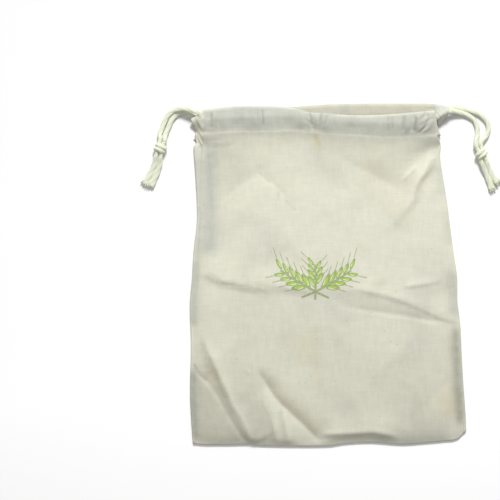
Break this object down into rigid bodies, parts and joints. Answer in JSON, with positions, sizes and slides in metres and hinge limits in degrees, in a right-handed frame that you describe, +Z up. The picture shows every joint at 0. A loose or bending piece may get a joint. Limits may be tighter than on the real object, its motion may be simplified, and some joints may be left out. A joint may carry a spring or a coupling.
{
  "type": "linen drawstring bread bag",
  "caption": "Flat linen drawstring bag for bread, lying empty on its back, its channelled mouth slightly open, with knotted cords leaving it at both sides.",
  "frame": {"origin": "on the surface that the bag lies on, under the middle of the cloth's outline (free cords left out)", "axes": "+Z up from the surface, out of the printed face; +Y from the bag's bottom to its mouth; +X to the right of the printed face"},
  "size_m": [0.3884, 0.3715, 0.0225],
  "materials": {
    "linen": "unbleached plain weave linen, matt",
    "cord": "soft cotton cord, matt"
  },
  "bodies": {
    "root": {"back_panel": "linen", "front_panel": "linen", "drawstring_left": "cord", "strand_left_front": "cord", "strand_left_back": "cord", "knot_left": "cord", "tail_left_front": "cord", "tail_left_back": "cord", "drawstring_right": "cord", "strand_right_front": "cord", "strand_right_back": "cord", "knot_right": "cord", "tail_right_front": "cord", "tail_right_back": "cord"}
  },
  "joints": []
}
